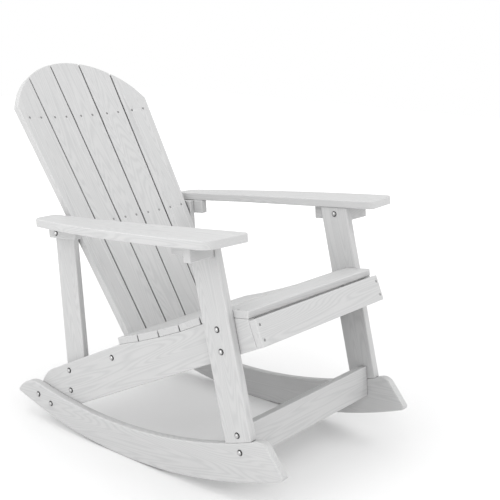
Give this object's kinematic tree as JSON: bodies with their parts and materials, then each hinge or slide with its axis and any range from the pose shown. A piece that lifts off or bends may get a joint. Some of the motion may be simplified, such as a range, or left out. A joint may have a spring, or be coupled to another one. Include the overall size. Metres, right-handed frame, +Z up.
{
  "type": "rocking adirondack chair",
  "caption": "Slatted garden armchair on two curved rockers, with a fan-shaped hollow back, a dipped slatted seat and broad flat arms.",
  "frame": {"origin": "middle of the chair's bounding box at floor level", "axes": "+Z up, the occupant faces -Y, +X is at the occupant's left"},
  "size_m": [0.792, 1.1078, 1.0127],
  "materials": {
    "board": "embossed wood grain, satin",
    "fastener": "satin"
  },
  "bodies": {
    "root": {"left_rocker": "board", "right_rocker": "board", "left_front_leg": "board", "right_front_leg": "board", "left_side_rail": "board", "right_side_rail": "board", "left_rear_post": "board", "right_rear_post": "board", "left_arm": "board", "right_arm": "board", "left_arm_gusset": "board", "right_arm_gusset": "board", "left_front_cleat": "board", "right_front_cleat": "board", "left_rear_cleat": "board", "right_rear_cleat": "board", "seat_slat_1": "board", "seat_slat_2": "board", "seat_slat_3": "board", "seat_slat_4": "board", "seat_slat_5": "board", "seat_slat_6": "board", "front_apron": "board", "leg_stretcher": "board", "back_slat_1": "board", "back_slat_2": "board", "back_slat_3": "board", "back_slat_4": "board", "back_slat_5": "board", "lower_back_rail": "board", "arm_back_rail": "board", "upper_back_rail": "board", "rocker_bolts": "fastener", "frame_bolts": "fastener", "cross_bolts": "fastener", "barrel_nuts": "fastener", "bolt_nuts": "fastener", "bolt_washers": "fastener", "seat_screws": "fastener", "back_screws": "fastener", "apron_screws": "fastener", "arm_screws": "fastener"}
  },
  "joints": []
}
